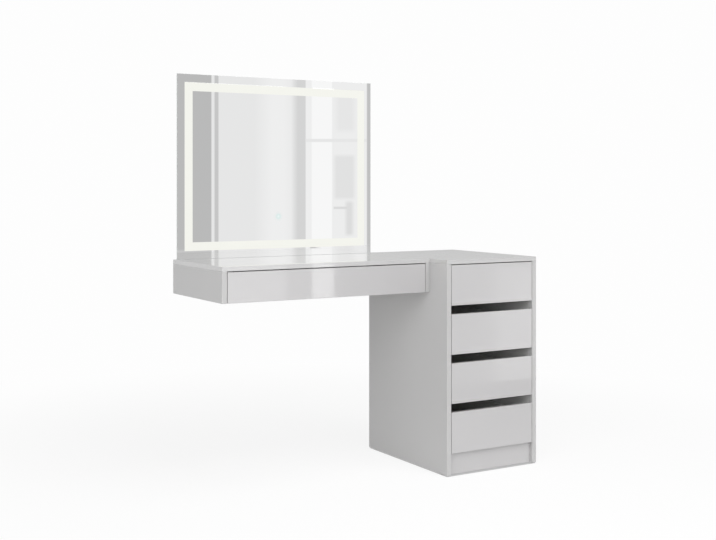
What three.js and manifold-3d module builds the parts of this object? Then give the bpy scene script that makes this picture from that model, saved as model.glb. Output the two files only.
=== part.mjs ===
// Dressing table with a lit mirror. A cabinet of four drawers stands on the floor, a desk with
// one wide drawer reaches out from its left side, and a mirror with a light band stands on the desk.
// Units are millimetres. X runs to the right along the fronts, Y runs back to the wall, Z runs up.
// The origin lies on the floor under the middle of the whole piece.
import * as THREE from "three";
import { RoundedBoxGeometry } from "three/addons/geometries/RoundedBoxGeometry.js";
import { mergeVertices } from "three/addons/utils/BufferGeometryUtils.js";
import Module from "manifold-3d";

const wasm = await Module();
wasm.setup();

// Driving dimensions of the furniture
const TABLE_HEIGHT = 750;
const CABINET_WIDTH = 400;
const CABINET_DEPTH = 500;
const DESK_WIDTH = 810;
const DESK_DEPTH = 400;
const DESK_HEIGHT = 118;
const PLINTH_HEIGHT = 76;
const PLINTH_RECESS = 12;
const DRAWER_PITCH = 170.5;
const DRAWER_COUNT = 4;
const FINGER_SLOT = 30;

// Board thicknesses and the clearances between pieces
const TOP_THICKNESS = 15;
const SIDE_THICKNESS = 18;
const BOARD_THICKNESS = 16;
const SHEET_THICKNESS = 3;
const EDGE_RADIUS = 1;
const TOUCH_GAP = 0.3;
const TOP_REVEAL = 3;
const SIDE_REVEAL = 2;
const BEHIND_FRONT_GAP = 2;
const GLIDE_HEIGHT = 3;

// Drawer boxes, seen from the front they hang on
const CABINET_BOX = { depth: 450, wall: 16, height: 96, belowFrontTop: 30 };
const DESK_BOX = { depth: 350, wall: 12, height: 70, belowFrontTop: 17 };
const GROOVE_DEPTH = 5;
const BOX_SIDE_CLEARANCE = 13;
const BOTTOM_ABOVE_BOX_EDGE = 10;

// Sections of the two-part drawer slides: a channel on the carcass and a runner on the drawer
const CABINET_SLIDE = { height: 45, sheet: 1.5 };
const DESK_SLIDE = { height: 35, sheet: 1.2 };
const SLIDE_FLANGE = 9;
const CHANNEL_LIP = 3.5;
const RUNNER_LIP = 2.5;
const RACE_HEIGHT = 7.5;

// The lit mirror
const MIRROR_WIDTH = 798;
const MIRROR_HEIGHT = 648;
const MIRROR_DEPTH = 20;
const PANE_THICKNESS = 3;
const BAND_MARGIN = 29;
const BAND_WIDTH = 30;
const ETCH_DEPTH = 1;
const BUTTON_DIAMETER = 20;
const BUTTON_HEIGHT = 145;

const CURVE_SEGMENTS = 24;

// Surface finishes
function finish(color, roughness, metalness = 0) {
  return new THREE.MeshStandardMaterial({ color, roughness, metalness });
}

const glossWhite = () => finish("#d6d5d6", 0.12);
const satinWhite = () => finish("#cfcecf", 0.35);
const rawHardboard = () => finish("#d9d7d2", 0.7);
const zincSteel = () => finish("#a9abad", 0.35, 1);
const aluminium = () => finish("#b9babb", 0.4, 1);
const mirrorSilver = () => finish("#e4e6e7", 0.03, 1);
const opalBand = () => finish("#f5f5ea", 0.5);
const touchGlow = () => finish("#c9ecf2", 0.4);
const whitePlastic = () => finish("#ecece9", 0.45);
const darkPlastic = () => finish("#3a3b3d", 0.5);

// Turns a closed geometry into a solid that can be cut.
function toSolid(geometry) {
  const bare = geometry.clone();
  bare.deleteAttribute("normal");
  bare.deleteAttribute("uv");
  const merged = mergeVertices(bare, 1e-3);
  const mesh = new wasm.Mesh({
    numProp: 3,
    vertProperties: new Float32Array(merged.attributes.position.array),
    triVerts: new Uint32Array(merged.index.array),
  });
  return new wasm.Manifold(mesh);
}

// Turns a solid back into a geometry with flat faces.
function toGeometry(solid) {
  const mesh = solid.getMesh();
  const indexed = new THREE.BufferGeometry();
  indexed.setAttribute("position", new THREE.BufferAttribute(mesh.vertProperties, 3));
  indexed.setIndex(new THREE.BufferAttribute(mesh.triVerts, 1));
  const flat = indexed.toNonIndexed();
  flat.computeVertexNormals();
  return flat;
}

// Cuts every tool geometry out of a blank.
function cut(blank, ...tools) {
  const solid = tools.reduce((rest, tool) => rest.subtract(toSolid(tool)), toSolid(blank));
  return toGeometry(solid);
}

// Joins geometries that overlap into one.
function join(first, ...others) {
  const solid = others.reduce((sum, other) => sum.add(toSolid(other)), toSolid(first));
  return toGeometry(solid);
}

// A board with softly rounded edges. Its lower, front, left corner is at the origin.
function board(width, depth, height) {
  const geometry = new RoundedBoxGeometry(width, depth, height, 1, EDGE_RADIUS);
  return geometry.translate(width / 2, depth / 2, height / 2);
}

// A sharp block between two corners, used as a cutting tool or a plain sheet.
function block([x0, y0, z0], [x1, y1, z1]) {
  const geometry = new THREE.BoxGeometry(x1 - x0, y1 - y0, z1 - z0);
  return geometry.translate((x0 + x1) / 2, (y0 + y1) / 2, (z0 + z1) / 2);
}

// A round bar along X through a height and a depth, used as a drill.
function drillAlongX(radius, x0, x1, y, z) {
  const geometry = new THREE.CylinderGeometry(radius, radius, x1 - x0, CURVE_SEGMENTS);
  geometry.rotateZ(Math.PI / 2);
  return geometry.translate((x0 + x1) / 2, y, z);
}

// A round bar along Y, centred on a point of the front plane.
function drillAlongY(radius, y0, y1, x, z) {
  const geometry = new THREE.CylinderGeometry(radius, radius, y1 - y0, CURVE_SEGMENTS);
  return geometry.translate(x, (y0 + y1) / 2, z);
}

// Extrudes an outline drawn in X and Z along +Y.
function extrudeAlongY(outline, length) {
  const geometry = new THREE.ExtrudeGeometry(outline, { depth: length, bevelEnabled: false });
  geometry.rotateX(Math.PI / 2);
  return geometry.translate(0, length, 0);
}

// The corners of a rectangle, in order round it.
function rectanglePoints(x0, y0, x1, y1) {
  return [
    new THREE.Vector2(x0, y0),
    new THREE.Vector2(x1, y0),
    new THREE.Vector2(x1, y1),
    new THREE.Vector2(x0, y1),
  ];
}

// A rectangular ring in the X and Z plane, given by its outer size, an inset and a width.
function ring(width, height, inset, ringWidth, depth) {
  const hole = inset + ringWidth;
  const outline = new THREE.Shape(rectanglePoints(inset, inset, width - inset, height - inset));
  outline.holes.push(new THREE.Path(rectanglePoints(hole, hole, width - hole, height - hole).reverse()));
  return extrudeAlongY(outline, depth);
}

// Adds a named piece to a group at a position.
function place(group, name, material, geometry, x, y, z) {
  const mesh = new THREE.Mesh(geometry, material);
  mesh.name = name;
  mesh.position.set(x, y, z);
  group.add(mesh);
  return mesh;
}

// The carcass channel: a C section whose open side faces +X, with lips that turn in.
function channelOutline({ height, sheet }) {
  const half = height / 2;
  const lip = half - CHANNEL_LIP;
  const upperHalf = [
    [0, half],
    [SLIDE_FLANGE, half],
    [SLIDE_FLANGE, lip],
    [SLIDE_FLANGE - sheet, lip],
    [SLIDE_FLANGE - sheet, half - sheet],
    [sheet, half - sheet],
  ];
  return mirroredOutline(upperHalf);
}

// The drawer runner: a C section that opens to -X, with lips that turn out. The balls would run
// in the race left between it and the channel.
function runnerOutline({ height, sheet }) {
  const back = BOX_SIDE_CLEARANCE - 2 * TOUCH_GAP;
  const half = height / 2 - RACE_HEIGHT;
  const mouth = back - SLIDE_FLANGE;
  const upperHalf = [
    [back - sheet, half - sheet],
    [mouth, half - sheet],
    [mouth, half + RUNNER_LIP],
    [mouth + sheet, half + RUNNER_LIP],
    [mouth + sheet, half],
    [back, half],
  ];
  return mirroredOutline(upperHalf);
}

// Closes an upper half outline with its own mirror image below.
function mirroredOutline(upperHalf) {
  const lowerHalf = upperHalf.map(([x, z]) => [x, -z]).reverse();
  const points = [...upperHalf, ...lowerHalf].map(([x, z]) => new THREE.Vector2(x, z));
  return new THREE.Shape(points);
}

// The same outline facing the other way, for a slide on the right-hand side.
function turnedOutline(outline) {
  const points = outline.getPoints().map((p) => new THREE.Vector2(-p.x, p.y));
  return new THREE.Shape(points.reverse());
}

// The four walls of a drawer box, folded from one board, with a groove for the bottom all round.
function boxWalls(width, { depth, wall, height }) {
  const outline = new THREE.Shape(rectanglePoints(0, 0, width, depth));
  outline.holes.push(new THREE.Path(rectanglePoints(wall, wall, width - wall, depth - wall).reverse()));
  const walls = new THREE.ExtrudeGeometry(outline, { depth: height, bevelEnabled: false });
  const reach = wall - GROOVE_DEPTH;
  const groove = block(
    [reach, reach, BOTTOM_ABOVE_BOX_EDGE - TOUCH_GAP],
    [width - reach, depth - reach, BOTTOM_ABOVE_BOX_EDGE + SHEET_THICKNESS + TOUCH_GAP],
  );
  return cut(walls, groove);
}

// One drawer on its two slides. The opening is the clear space between the carcass sides, and
// the front closes flush with their front edges.
function addDrawer(group, name, { openingX, openingWidth, frontBottom, frontTop, box, slide }) {
  const front = board(openingWidth - 2 * SIDE_REVEAL, BOARD_THICKNESS, frontTop - frontBottom);
  place(group, `${name}_front`, glossWhite(), front, openingX + SIDE_REVEAL, 0, frontBottom);

  const boxX = openingX + BOX_SIDE_CLEARANCE;
  const boxY = BOARD_THICKNESS + TOUCH_GAP;
  const boxZ = frontTop - box.belowFrontTop - box.height;
  const boxWidth = openingWidth - 2 * BOX_SIDE_CLEARANCE;
  place(group, `${name}_box`, satinWhite(), boxWalls(boxWidth, box), boxX, boxY, boxZ);

  const inset = box.wall - GROOVE_DEPTH + TOUCH_GAP;
  const bottom = block([0, 0, 0], [boxWidth - 2 * inset, box.depth - 2 * inset, SHEET_THICKNESS]);
  const bottomZ = boxZ + BOTTOM_ABOVE_BOX_EDGE;
  place(group, `${name}_bottom`, rawHardboard(), bottom, boxX + inset, boxY + inset, bottomZ);

  const slideY = BOARD_THICKNESS + BEHIND_FRONT_GAP;
  const slideZ = boxZ + box.height / 2;
  const slideLength = box.depth - BEHIND_FRONT_GAP;
  const leftX = openingX + TOUCH_GAP;
  const rightX = openingX + openingWidth - TOUCH_GAP;
  for (const [part, outline] of [["channel", channelOutline(slide)], ["runner", runnerOutline(slide)]]) {
    const left = extrudeAlongY(outline, slideLength);
    const right = extrudeAlongY(turnedOutline(outline), slideLength);
    place(group, `${name}_left_${part}`, zincSteel(), left, leftX, slideY, slideZ);
    place(group, `${name}_right_${part}`, zincSteel(), right, rightX, slideY, slideZ);
  }
}

// The bolts that hold the desk to the cabinet, each at a distance from the wall
const BOLT_RADIUS = 4;
const BOLT_HEAD_RADIUS = 8;
const BOLT_HEAD_HEIGHT = 2.5;
const BOLT_FROM_TOP = 32;
const BOLTS = [
  { name: "desk_bolt_front", fromWall: 340 },
  { name: "desk_bolt_rear", fromWall: 60 },
];

// The drills for those bolts, in a side board of the given depth whose foot is at a height.
function boltHoles(depth, floorToBoard) {
  const z = TABLE_HEIGHT - BOLT_FROM_TOP - floorToBoard;
  return BOLTS.map(({ fromWall }) =>
    drillAlongX(BOLT_RADIUS + TOUCH_GAP, -1, SIDE_THICKNESS + 1, depth - fromWall, z),
  );
}

// The cabinet: two sides and a back under a top, and a bottom over a recessed plinth.
function makeCabinet() {
  const cabinet = new THREE.Group();
  const topZ = TABLE_HEIGHT - TOP_THICKNESS;
  const sideHeight = topZ - TOUCH_GAP - GLIDE_HEIGHT;
  const innerWidth = CABINET_WIDTH - 2 * SIDE_THICKNESS;
  const rightX = CABINET_WIDTH - SIDE_THICKNESS;
  const backY = CABINET_DEPTH - BOARD_THICKNESS;

  const holes = boltHoles(CABINET_DEPTH, GLIDE_HEIGHT);
  const left = cut(board(SIDE_THICKNESS, CABINET_DEPTH, sideHeight), ...holes);
  const right = board(SIDE_THICKNESS, CABINET_DEPTH, sideHeight);
  place(cabinet, "cabinet_left_side", satinWhite(), left, 0, 0, GLIDE_HEIGHT);
  place(cabinet, "cabinet_right_side", satinWhite(), right, rightX, 0, GLIDE_HEIGHT);

  const top = board(CABINET_WIDTH, CABINET_DEPTH, TOP_THICKNESS);
  place(cabinet, "cabinet_top", satinWhite(), top, 0, 0, topZ);

  const shelfWidth = innerWidth - 2 * TOUCH_GAP;
  const shelfX = SIDE_THICKNESS + TOUCH_GAP;
  const back = board(shelfWidth, BOARD_THICKNESS, sideHeight);
  place(cabinet, "cabinet_back", satinWhite(), back, shelfX, backY, GLIDE_HEIGHT);

  const bottomY = BOARD_THICKNESS + BEHIND_FRONT_GAP;
  const bottom = board(shelfWidth, backY - TOUCH_GAP - bottomY, BOARD_THICKNESS);
  place(cabinet, "cabinet_bottom", satinWhite(), bottom, shelfX, bottomY, PLINTH_HEIGHT + TOUCH_GAP);

  const plinth = board(shelfWidth, BOARD_THICKNESS, PLINTH_HEIGHT - GLIDE_HEIGHT);
  place(cabinet, "cabinet_plinth", glossWhite(), plinth, shelfX, PLINTH_RECESS, GLIDE_HEIGHT);

  addGlides(cabinet);
  addCabinetDrawers(cabinet, topZ, innerWidth);
  return cabinet;
}

// Four round glides nailed under the ends of the two sides.
function addGlides(cabinet) {
  const fromEnd = 40;
  const radius = SIDE_THICKNESS / 2 - EDGE_RADIUS;
  const height = GLIDE_HEIGHT - TOUCH_GAP;
  const places = {
    glide_front_left: [SIDE_THICKNESS / 2, fromEnd],
    glide_front_right: [CABINET_WIDTH - SIDE_THICKNESS / 2, fromEnd],
    glide_rear_left: [SIDE_THICKNESS / 2, CABINET_DEPTH - fromEnd],
    glide_rear_right: [CABINET_WIDTH - SIDE_THICKNESS / 2, CABINET_DEPTH - fromEnd],
  };
  for (const [name, [x, y]] of Object.entries(places)) {
    const disc = new THREE.CylinderGeometry(radius, radius, height, CURVE_SEGMENTS);
    disc.rotateX(Math.PI / 2);
    place(cabinet, name, whitePlastic(), disc, x, y, height / 2);
  }
}

// Four drawers at one pitch. The lowest front reaches down past the bottom to the plinth.
function addCabinetDrawers(cabinet, topZ, innerWidth) {
  for (let index = 0; index < DRAWER_COUNT; index += 1) {
    const frontTop = topZ - TOP_REVEAL - index * DRAWER_PITCH;
    const isLowest = index === DRAWER_COUNT - 1;
    const frontBottom = isLowest ? PLINTH_HEIGHT + SIDE_REVEAL : frontTop - DRAWER_PITCH + FINGER_SLOT;
    addDrawer(cabinet, `drawer_${index + 1}`, {
      openingX: SIDE_THICKNESS,
      openingWidth: innerWidth,
      frontBottom,
      frontTop,
      box: CABINET_BOX,
      slide: CABINET_SLIDE,
    });
  }
}

// The desk: a top on two short sides, a rail that is screwed to the wall, and one wide drawer.
function makeDesk() {
  const desk = new THREE.Group();
  const width = DESK_WIDTH - TOUCH_GAP;
  const topZ = TABLE_HEIGHT - TOP_THICKNESS;
  const bottomZ = TABLE_HEIGHT - DESK_HEIGHT;
  const sideHeight = topZ - TOUCH_GAP - bottomZ;
  const rightX = width - SIDE_THICKNESS;
  const openingWidth = rightX - SIDE_THICKNESS;

  place(desk, "desk_top", satinWhite(), board(width, DESK_DEPTH, TOP_THICKNESS), 0, 0, topZ);
  const left = board(SIDE_THICKNESS, DESK_DEPTH, sideHeight);
  place(desk, "desk_left_side", satinWhite(), left, 0, 0, bottomZ);
  const right = cut(board(SIDE_THICKNESS, DESK_DEPTH, sideHeight), ...boltHoles(DESK_DEPTH, bottomZ));
  place(desk, "desk_right_side", satinWhite(), right, rightX, 0, bottomZ);

  addWallRail(desk, openingWidth, topZ);
  addDrawer(desk, "desk_drawer", {
    openingX: SIDE_THICKNESS,
    openingWidth,
    frontBottom: bottomZ,
    frontTop: topZ - TOP_REVEAL,
    box: DESK_BOX,
    slide: DESK_SLIDE,
  });
  return desk;
}

// The rail under the rear of the desk top, drilled for three wall screws.
function addWallRail(desk, openingWidth, topZ) {
  const railHeight = 80;
  const screwRadius = 3.5;
  const screwFromEnd = 60;
  const railWidth = openingWidth - 2 * TOUCH_GAP;
  const screws = [screwFromEnd, railWidth / 2, railWidth - screwFromEnd];
  const holes = screws.map((x) =>
    drillAlongY(screwRadius, -1, BOARD_THICKNESS + 1, x, railHeight / 2),
  );
  const rail = cut(board(railWidth, BOARD_THICKNESS, railHeight), ...holes);
  const x = SIDE_THICKNESS + TOUCH_GAP;
  const z = topZ - TOUCH_GAP - railHeight;
  place(desk, "desk_wall_rail", satinWhite(), rail, x, DESK_DEPTH - BOARD_THICKNESS, z);
}

// A bolt through both sides at the seam, with a flat head in the cabinet and a cap in the desk.
function makeSeamBolts() {
  const bolts = new THREE.Group();
  const span = 2 * SIDE_THICKNESS + 3 * TOUCH_GAP;
  const profile = [
    [0, 0],
    [BOLT_HEAD_RADIUS, 0],
    [BOLT_HEAD_RADIUS, BOLT_HEAD_HEIGHT],
    [BOLT_RADIUS, BOLT_HEAD_HEIGHT],
    [BOLT_RADIUS, BOLT_HEAD_HEIGHT + span],
    [BOLT_HEAD_RADIUS, BOLT_HEAD_HEIGHT + span],
    [BOLT_HEAD_RADIUS, 2 * BOLT_HEAD_HEIGHT + span],
    [0, 2 * BOLT_HEAD_HEIGHT + span],
  ].map(([radius, along]) => new THREE.Vector2(radius, along));
  for (const { name, fromWall } of BOLTS) {
    const bolt = new THREE.LatheGeometry(profile, CURVE_SEGMENTS);
    bolt.rotateZ(-Math.PI / 2);
    const x = -SIDE_THICKNESS - 2 * TOUCH_GAP - BOLT_HEAD_HEIGHT;
    place(bolts, name, zincSteel(), bolt, x, -fromWall, TABLE_HEIGHT - BOLT_FROM_TOP);
  }
  return bolts;
}

// The mirror: a silvered pane with an etched light band, on a shallow lit housing.
function makeMirror() {
  const mirror = new THREE.Group();
  const centreX = MIRROR_WIDTH / 2;
  const buttonRadius = BUTTON_DIAMETER / 2;
  const bandRecess = ring(
    MIRROR_WIDTH,
    MIRROR_HEIGHT,
    BAND_MARGIN - TOUCH_GAP,
    BAND_WIDTH + 2 * TOUCH_GAP,
    ETCH_DEPTH + 1,
  ).translate(0, -1, 0);
  const buttonRecess = drillAlongY(buttonRadius + TOUCH_GAP, -1, ETCH_DEPTH, centreX, BUTTON_HEIGHT);
  const pane = cut(board(MIRROR_WIDTH, PANE_THICKNESS, MIRROR_HEIGHT), bandRecess, buttonRecess);
  place(mirror, "mirror_glass", mirrorSilver(), pane, 0, 0, 0);

  const etchThickness = ETCH_DEPTH - TOUCH_GAP;
  const band = ring(MIRROR_WIDTH, MIRROR_HEIGHT, BAND_MARGIN, BAND_WIDTH, etchThickness);
  place(mirror, "mirror_light_band", opalBand(), band, 0, 0, 0);
  const button = drillAlongY(buttonRadius, 0, etchThickness, 0, 0);
  place(mirror, "mirror_touch_button", touchGlow(), button, centreX, 0, BUTTON_HEIGHT);

  addMirrorHousing(mirror);
  return mirror;
}

// Behind the pane, set in from its edge: frame, light strip, driver, back cover, gland and hanger.
function addMirrorHousing(mirror) {
  const frameInset = 15;
  const frameSheet = 1.5;
  const frameFlange = 12;
  const frameY = PANE_THICKNESS + TOUCH_GAP;
  const frameDepth = MIRROR_DEPTH - frameY - TOUCH_GAP;
  const frame = join(
    ring(MIRROR_WIDTH, MIRROR_HEIGHT, frameInset, frameSheet, frameDepth),
    ring(MIRROR_WIDTH, MIRROR_HEIGHT, frameInset, frameFlange, frameSheet),
  );
  place(mirror, "mirror_frame", aluminium(), frame, 0, frameY, 0);

  const coverThickness = 1.2;
  const coverInset = frameInset + frameSheet + TOUCH_GAP;
  const coverFromWall = 2;
  const coverY = MIRROR_DEPTH - coverFromWall - coverThickness;
  const gland = { radius: 5, x: MIRROR_WIDTH / 2, z: 60 };
  const coverCorner = [MIRROR_WIDTH - coverInset, coverThickness, MIRROR_HEIGHT - coverInset];
  const cover = cut(
    block([coverInset, 0, coverInset], coverCorner),
    drillAlongY(gland.radius + TOUCH_GAP, -1, coverThickness + 1, gland.x, gland.z),
  );
  place(mirror, "mirror_back_cover", whitePlastic(), cover, 0, coverY, 0);

  const stripWidth = 10;
  const stripThickness = 1;
  const stripInset = BAND_MARGIN + (BAND_WIDTH - stripWidth) / 2;
  const strip = ring(MIRROR_WIDTH, MIRROR_HEIGHT, stripInset, stripWidth, stripThickness);
  place(mirror, "mirror_led_strip", whitePlastic(), strip, 0, coverY - TOUCH_GAP - stripThickness, 0);

  const driver = { width: 150, depth: 10, height: 32, aboveBand: 20 };
  const driverX = (MIRROR_WIDTH - driver.width) / 2;
  const driverY = coverY - TOUCH_GAP - driver.depth;
  const driverZ = BAND_MARGIN + BAND_WIDTH + driver.aboveBand;
  const driverCase = board(driver.width, driver.depth, driver.height);
  place(mirror, "mirror_led_driver", whitePlastic(), driverCase, driverX, driverY, driverZ);

  placeGland(mirror, gland, coverY, coverThickness);
  addHangingRail(mirror, coverY + coverThickness + TOUCH_GAP);
}

// A bushing for the mains lead: a short tube through the cover with a flange behind it.
function placeGland(mirror, { radius, x, z }, coverY, coverThickness) {
  const boreRadius = 2.5;
  const flangeRadius = 8;
  const flangeThickness = 1.2;
  const insideLength = 1;
  const tubeLength = insideLength + coverThickness + TOUCH_GAP;
  const profile = [
    [boreRadius, 0],
    [radius, 0],
    [radius, tubeLength],
    [flangeRadius, tubeLength],
    [flangeRadius, tubeLength + flangeThickness],
    [boreRadius, tubeLength + flangeThickness],
    [boreRadius, 0],
  ].map(([r, along]) => new THREE.Vector2(r, along));
  const gland = new THREE.LatheGeometry(profile, CURVE_SEGMENTS);
  place(mirror, "mirror_cable_gland", darkPlastic(), gland, x, coverY - insideLength, z);
}

// A flat steel rail with two keyholes, on the rear of the cover, for two wall screws.
function addHangingRail(mirror, railY) {
  const width = 420;
  const height = 34;
  const thickness = 1.3;
  const headRadius = 5;
  const neckRadius = 2.6;
  const keyholeFromEnd = 30;
  const headRise = 11;
  const neckRise = 23;
  const belowMirrorTop = 130;
  const blank = block([0, 0, 0], [width, thickness, height]);
  const keyholes = [keyholeFromEnd, width - keyholeFromEnd].flatMap((x) => [
    drillAlongY(headRadius, -1, thickness + 1, x, headRise),
    drillAlongY(neckRadius, -1, thickness + 1, x, neckRise),
    block([x - neckRadius, -1, headRise], [x + neckRadius, thickness + 1, neckRise]),
  ]);
  const rail = cut(blank, ...keyholes);
  const z = MIRROR_HEIGHT - belowMirrorTop;
  place(mirror, "mirror_hanging_rail", zincSteel(), rail, (MIRROR_WIDTH - width) / 2, railY, z);
}

// The whole piece: everything lines up with the wall plane at the rear.
const dressingTable = new THREE.Group();
const totalWidth = DESK_WIDTH + CABINET_WIDTH;
const seamX = DESK_WIDTH - totalWidth / 2;
const wallY = CABINET_DEPTH / 2;

const cabinet = makeCabinet();
cabinet.position.set(seamX, wallY - CABINET_DEPTH, 0);

const desk = makeDesk();
desk.position.set(seamX - DESK_WIDTH, wallY - DESK_DEPTH, 0);

const seamBolts = makeSeamBolts();
seamBolts.position.set(seamX, wallY, 0);

const mirror = makeMirror();
mirror.position.set(
  seamX - (DESK_WIDTH + MIRROR_WIDTH) / 2,
  wallY - MIRROR_DEPTH,
  TABLE_HEIGHT + TOUCH_GAP,
);

dressingTable.add(cabinet, desk, seamBolts, mirror);

export default dressingTable;
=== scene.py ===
# %% [markdown]
# # A dressing table with a lit mirror
#
# The real piece is a white cabinet with four drawers, a desk with one wide drawer that reaches
# out from the cabinet, and a frameless mirror with a glowing band that stands on the desk.
# Its construction, with every board, slide and bolt at its real size, is already packed. This
# lesson loads that construction, and then adds what makes it look real: eased board edges, fine
# screws, pressed sheet, glowing glass, and a finish for every surface.
# All lengths are metres. X runs to the right, Y runs back to the wall, and Z runs up.

import math

import bmesh
import bpy
import numpy as np
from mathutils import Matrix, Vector


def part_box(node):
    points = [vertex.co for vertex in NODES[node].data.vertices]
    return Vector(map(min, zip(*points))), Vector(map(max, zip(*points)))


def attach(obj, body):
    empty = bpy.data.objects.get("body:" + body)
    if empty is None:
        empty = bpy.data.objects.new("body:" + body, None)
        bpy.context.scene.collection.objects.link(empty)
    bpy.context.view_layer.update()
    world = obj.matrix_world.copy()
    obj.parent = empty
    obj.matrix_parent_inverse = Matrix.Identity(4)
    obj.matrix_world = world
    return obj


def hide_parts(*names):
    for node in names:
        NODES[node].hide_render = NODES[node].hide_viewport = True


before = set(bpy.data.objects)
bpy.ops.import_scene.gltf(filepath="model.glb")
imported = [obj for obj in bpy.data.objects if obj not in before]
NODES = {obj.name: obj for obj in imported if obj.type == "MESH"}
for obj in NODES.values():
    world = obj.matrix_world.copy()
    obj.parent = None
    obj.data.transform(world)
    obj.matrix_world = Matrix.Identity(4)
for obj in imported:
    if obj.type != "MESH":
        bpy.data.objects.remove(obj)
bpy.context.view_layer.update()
MM = 0.001


def node_box(node):
    """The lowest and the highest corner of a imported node, as arrays."""
    low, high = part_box(node)
    return np.array(low), np.array(high)


def add_object(name, data):
    """Makes an object of a mesh, a lamp or a lens, and puts it in the scene."""
    thing = bpy.data.objects.new(name, data)
    bpy.context.scene.collection.objects.link(thing)
    return thing


# %% [markdown]
# ## The camera
#
# A photograph is matched with the camera's place and four numbers: the focal length, the column
# and the row that the lens looks straight at, and the turn of the camera. They come from the way
# that the table's straight edges run together. The camera looks level, so verticals stay upright,
# and the lens is shifted to bring the table into the frame, as with a view camera.

# %% Place the camera
PHOTO_WIDTH = 716
PHOTO_HEIGHT = 540
SENSOR_WIDTH = 36.0
FOCAL_PIXELS = 1122.0
CENTRE_COLUMN = 312.1
HORIZON_ROW = 183.95
CAMERA_AT = (-2.1225, -3.3887, 1.0138)
CAMERA_YAW = math.radians(29.7)


def add_camera():
    """A level camera with a shifted lens, turned to the right by the yaw."""
    lens = bpy.data.cameras.new("photo_camera")
    lens.sensor_width = SENSOR_WIDTH
    lens.lens = FOCAL_PIXELS * SENSOR_WIDTH / PHOTO_WIDTH
    lens.shift_x = (PHOTO_WIDTH / 2 - CENTRE_COLUMN) / PHOTO_WIDTH
    lens.shift_y = (HORIZON_ROW - PHOTO_HEIGHT / 2) / PHOTO_WIDTH
    camera = add_object("photo_camera", lens)
    camera.location = CAMERA_AT
    camera.rotation_euler = (math.pi / 2, 0, -CAMERA_YAW)
    bpy.context.scene.camera = camera
    return lens


lens = add_camera()
bpy.context.scene.view_settings.view_transform = "Standard"
print("camera lens", round(lens.lens, 2), "mm, shift", round(lens.shift_y, 4))

# %% [markdown]
# ## Node helpers
#
# Every finish below is a small network of shader nodes. A few helpers keep the networks short.
# One adds a node with all that feeds it, and the rest are the sums and fields that finishes share.

# %% Helpers for shader nodes
FLOAT = "NodeSocketFloat"
COLOUR = "NodeSocketColor"
VECTOR = "NodeSocketVector"


def feed(tree, inputs, sources):
    """Feeds inputs, given by name or number, with outputs, numbers or colours."""
    for key, source in sources.items():
        if isinstance(source, bpy.types.NodeSocket):
            tree.links.new(source, inputs[key])
        else:
            inputs[key].default_value = source


def add_node(tree, kind, sources=None, **properties):
    """Adds a shader node, sets its properties, feeds its inputs, and gives its outputs."""
    node = tree.nodes.new("ShaderNode" + kind)
    for name, value in properties.items():
        setattr(node, name, value)
    feed(tree, node.inputs, sources or {})
    return node.outputs


def work_out(tree, operation, *values, clamp=False):
    """One sum on up to three values, such as ADD or MULTIPLY. Gives its output."""
    return add_node(tree, "Math", dict(enumerate(values)), operation=operation, use_clamp=clamp)[0]


def new_group(name, inputs, outputs):
    """An empty shader node group, whose inputs and outputs are names with a kind of socket."""
    group = bpy.data.node_groups.new(name, "ShaderNodeTree")
    for way, sockets in (("INPUT", inputs), ("OUTPUT", outputs)):
        for socket, kind in sockets.items():
            group.interface.new_socket(name=socket, in_out=way, socket_type=kind)
    given = group.nodes.new("NodeGroupInput").outputs
    result = group.nodes.new("NodeGroupOutput").inputs
    return group, given, result


# %% Helpers for colours and places
def between(tree, factor, first, second):
    """A colour between two others: the first at 0 and the second at 1."""
    sources = {"Factor": factor, "A": first, "B": second}
    return add_node(tree, "Mix", sources, data_type="RGBA")["Result"]


def scaled(tree, colour, factor):
    """A colour times a number."""
    return add_node(tree, "VectorMath", {0: colour, "Scale": factor}, operation="SCALE")[0]


def object_place(tree):
    """The place of a point in the coordinates of its object."""
    return add_node(tree, "TexCoord")["Object"]


def place_axes(tree, place):
    """The three coordinates of a place."""
    return add_node(tree, "SeparateXYZ", {0: place})


def distance_from(tree, point):
    """How far the surface is from a point."""
    sources = {0: object_place(tree), 1: point}
    return add_node(tree, "VectorMath", sources, operation="DISTANCE")["Value"]


def within(tree, low, high):
    """1 where X and Y lie between those of two corners, and 0 elsewhere."""
    place = place_axes(tree, object_place(tree))
    middle, half = (low + high) / 2, (high - low) / 2
    masks = [work_out(tree, "COMPARE", place[i], middle[i], half[i]) for i in (0, 1)]
    return work_out(tree, "MULTIPLY", *masks)


# %% Helpers for noise and relief
NOISE_LOW = 0.3
NOISE_HIGH = 0.7


def noise_value(tree, vector, scale, detail=2.0, roughness=0.5):
    """A smooth random field of one value, about 0.5 on average."""
    sources = {"Vector": vector, "Scale": scale, "Detail": detail, "Roughness": roughness}
    return add_node(tree, "TexNoise", sources)[0]


def spread(tree, value, low, high):
    """Maps a value from the range where noise mostly lies to a range of its own."""
    sources = {
        "Value": value,
        "From Min": NOISE_LOW,
        "From Max": NOISE_HIGH,
        "To Min": low,
        "To Max": high,
    }
    return add_node(tree, "MapRange", sources)[0]


def soft_step(tree, value, start, end, top=1.0):
    """Goes in a soft curve from 0 at the start to a top value at the end."""
    sources = {"Value": value, "From Min": start, "From Max": end, "To Max": top}
    return add_node(tree, "MapRange", sources, interpolation_type="SMOOTHSTEP")[0]


def relief(tree, height, depth):
    """The normal of a height field, with the depth of its relief in metres."""
    return add_node(tree, "Bump", {"Height": height, "Distance": depth})[0]


def ray_kinds(tree):
    """Two masks: rays from the camera, and rays that a surface mirrors or lets through."""
    rays = add_node(tree, "LightPath")
    sent_on = work_out(tree, "MAXIMUM", rays["Is Glossy Ray"], rays["Is Transmission Ray"])
    return rays["Is Camera Ray"], sent_on


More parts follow.
